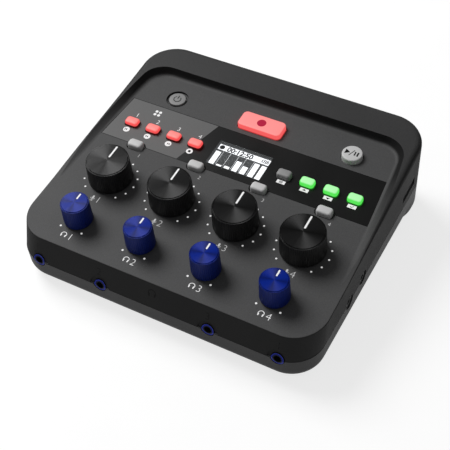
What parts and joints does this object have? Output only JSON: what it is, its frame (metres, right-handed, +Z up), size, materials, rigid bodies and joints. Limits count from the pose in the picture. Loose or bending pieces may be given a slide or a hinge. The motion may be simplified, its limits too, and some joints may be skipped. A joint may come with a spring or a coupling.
{
  "type": "podcast recorder",
  "caption": "Tabletop multichannel audio recorder with gain and headphone knobs, lit keys, sound pads, a small display, microphone sockets and headphone jacks.",
  "frame": {"origin": "on the table under the middle of the case", "axes": "+X to the right as seen by someone facing the control panel, +Y to the rear with the microphone sockets, +Z up"},
  "size_m": [0.1634, 0.1536, 0.0522],
  "materials": {
    "case_plastic": "fine-grained charcoal",
    "base_plastic": "fine-grained charcoal",
    "inlay": "satin near-black",
    "display_glass": "clear dark window",
    "display": "lit screen",
    "board": "green circuit board",
    "connector": "black moulded plastic",
    "control_metal": "plated",
    "shaft_metal": "turned",
    "knob_black": "knurled side, radially brushed top",
    "knob_blue": "knurled side, radially brushed top",
    "pad_red": "lit translucent silicone",
    "key_green": "lit translucent silicone",
    "key_grey": "light grey silicone",
    "key_dark": "grey silicone",
    "ring_blue": "blue jack ring",
    "socket_black": "black socket",
    "socket_metal": "plated shell",
    "cell": "plain jacket",
    "contact": "spring plate",
    "foot": "matt black",
    "screw": "black plated"
  },
  "bodies": {
    "case": {"top_cover": "case_plastic", "bottom_cover": "base_plastic", "panel_overlay": "inlay", "display_lens": "display_glass", "display_module": "display", "main_board": "board", "rear_board": "board", "side_board": "board", "board_links": "connector", "key_switches": "connector", "card_socket": "connector", "gain_controls": "control_metal", "phones_controls": "control_metal", "mic_socket_1": "socket_black", "mic_socket_2": "socket_black", "mic_socket_3": "socket_black", "mic_socket_4": "socket_black", "mic_inserts": "socket_black", "phones_jacks": "ring_blue", "side_jacks": "socket_black", "usb_port": "socket_metal", "batteries": "cell", "battery_contacts": "contact", "feet": "foot", "case_screws": "screw", "board_screws": "screw"},
    "gain_knob_1": {"gain_knob_1": "knob_black", "gain_shaft_1": "shaft_metal"},
    "phones_knob_1": {"phones_knob_1": "knob_blue", "phones_shaft_1": "shaft_metal"},
    "gain_knob_2": {"gain_knob_2": "knob_black", "gain_shaft_2": "shaft_metal"},
    "phones_knob_2": {"phones_knob_2": "knob_blue", "phones_shaft_2": "shaft_metal"},
    "gain_knob_3": {"gain_knob_3": "knob_black", "gain_shaft_3": "shaft_metal"},
    "phones_knob_3": {"phones_knob_3": "knob_blue", "phones_shaft_3": "shaft_metal"},
    "gain_knob_4": {"gain_knob_4": "knob_black", "gain_shaft_4": "shaft_metal"},
    "phones_knob_4": {"phones_knob_4": "knob_blue", "phones_shaft_4": "shaft_metal"},
    "record_button": {"record_button": "pad_red"},
    "play_button": {"play_button": "key_grey"},
    "power_button": {"power_button": "key_dark"},
    "menu_button": {"menu_button": "key_grey"},
    "mode_button_1": {"mode_button_1": "key_green"},
    "mode_button_2": {"mode_button_2": "key_green"},
    "mode_button_3": {"mode_button_3": "key_green"},
    "sound_pad_1": {"sound_pad_1": "pad_red"},
    "sound_pad_2": {"sound_pad_2": "pad_red"},
    "sound_pad_3": {"sound_pad_3": "pad_red"},
    "sound_pad_4": {"sound_pad_4": "pad_red"},
    "mute_button_1": {"mute_button_1": "key_grey"},
    "mute_button_2": {"mute_button_2": "key_grey"},
    "mute_button_3": {"mute_button_3": "key_grey"},
    "mute_button_4": {"mute_button_4": "key_grey"},
    "battery_door": {"battery_door": "base_plastic"}
  },
  "joints": [
    {"name": "gain_turn_1", "type": "hinge", "parent": "case", "child": "gain_knob_1", "pos_m": [-0.054, -0.02584, 0.03568], "axis": [0, -0.1219, 0.9925], "range_deg": [-139, 139]},
    {"name": "phones_turn_1", "type": "hinge", "parent": "case", "child": "phones_knob_1", "pos_m": [-0.054, -0.05581, 0.032], "axis": [0, -0.1219, 0.9925], "range_deg": [-139, 139]},
    {"name": "gain_turn_2", "type": "hinge", "parent": "case", "child": "gain_knob_2", "pos_m": [-0.018, -0.02584, 0.03568], "axis": [0, -0.1219, 0.9925], "range_deg": [-139, 139]},
    {"name": "phones_turn_2", "type": "hinge", "parent": "case", "child": "phones_knob_2", "pos_m": [-0.018, -0.05581, 0.032], "axis": [0, -0.1219, 0.9925], "range_deg": [-139, 139]},
    {"name": "gain_turn_3", "type": "hinge", "parent": "case", "child": "gain_knob_3", "pos_m": [0.018, -0.02584, 0.03568], "axis": [0, -0.1219, 0.9925], "range_deg": [-139, 139]},
    {"name": "phones_turn_3", "type": "hinge", "parent": "case", "child": "phones_knob_3", "pos_m": [0.018, -0.05581, 0.032], "axis": [0, -0.1219, 0.9925], "range_deg": [-139, 139]},
    {"name": "gain_turn_4", "type": "hinge", "parent": "case", "child": "gain_knob_4", "pos_m": [0.054, -0.02584, 0.03568], "axis": [0, -0.1219, 0.9925], "range_deg": [-139, 139]},
    {"name": "phones_turn_4", "type": "hinge", "parent": "case", "child": "phones_knob_4", "pos_m": [0.054, -0.05581, 0.032], "axis": [0, -0.1219, 0.9925], "range_deg": [-139, 139]},
    {"name": "record_press", "type": "slide", "parent": "case", "child": "record_button", "axis": [0, 0.1219, -0.9925], "range_m": [0, 0.0007], "stiffness_N_per_m": 400},
    {"name": "play_press", "type": "slide", "parent": "case", "child": "play_button", "axis": [0, 0.1219, -0.9925], "range_m": [0, 0.0007], "stiffness_N_per_m": 400},
    {"name": "power_press", "type": "slide", "parent": "case", "child": "power_button", "axis": [0, 0.1219, -0.9925], "range_m": [0, 0.0007], "stiffness_N_per_m": 400},
    {"name": "menu_press", "type": "slide", "parent": "case", "child": "menu_button", "axis": [0, 0.1219, -0.9925], "range_m": [0, 0.0007], "stiffness_N_per_m": 400},
    {"name": "mode_press_1", "type": "slide", "parent": "case", "child": "mode_button_1", "axis": [0, 0.1219, -0.9925], "range_m": [0, 0.0007], "stiffness_N_per_m": 400},
    {"name": "mode_press_2", "type": "slide", "parent": "case", "child": "mode_button_2", "axis": [0, 0.1219, -0.9925], "range_m": [0, 0.0007], "stiffness_N_per_m": 400},
    {"name": "mode_press_3", "type": "slide", "parent": "case", "child": "mode_button_3", "axis": [0, 0.1219, -0.9925], "range_m": [0, 0.0007], "stiffness_N_per_m": 400},
    {"name": "pad_press_1", "type": "slide", "parent": "case", "child": "sound_pad_1", "axis": [0, 0.1219, -0.9925], "range_m": [0, 0.0007], "stiffness_N_per_m": 400},
    {"name": "pad_press_2", "type": "slide", "parent": "case", "child": "sound_pad_2", "axis": [0, 0.1219, -0.9925], "range_m": [0, 0.0007], "stiffness_N_per_m": 400},
    {"name": "pad_press_3", "type": "slide", "parent": "case", "child": "sound_pad_3", "axis": [0, 0.1219, -0.9925], "range_m": [0, 0.0007], "stiffness_N_per_m": 400},
    {"name": "pad_press_4", "type": "slide", "parent": "case", "child": "sound_pad_4", "axis": [0, 0.1219, -0.9925], "range_m": [0, 0.0007], "stiffness_N_per_m": 400},
    {"name": "mute_press_1", "type": "slide", "parent": "case", "child": "mute_button_1", "axis": [0, 0.1219, -0.9925], "range_m": [0, 0.0007], "stiffness_N_per_m": 400},
    {"name": "mute_press_2", "type": "slide", "parent": "case", "child": "mute_button_2", "axis": [0, 0.1219, -0.9925], "range_m": [0, 0.0007], "stiffness_N_per_m": 400},
    {"name": "mute_press_3", "type": "slide", "parent": "case", "child": "mute_button_3", "axis": [0, 0.1219, -0.9925], "range_m": [0, 0.0007], "stiffness_N_per_m": 400},
    {"name": "mute_press_4", "type": "slide", "parent": "case", "child": "mute_button_4", "axis": [0, 0.1219, -0.9925], "range_m": [0, 0.0007], "stiffness_N_per_m": 400},
    {"name": "battery_door_slide", "type": "slide", "parent": "case", "child": "battery_door", "axis": [0, -0.9994, -0.0349], "range_m": [0, 0.009]}
  ]
}
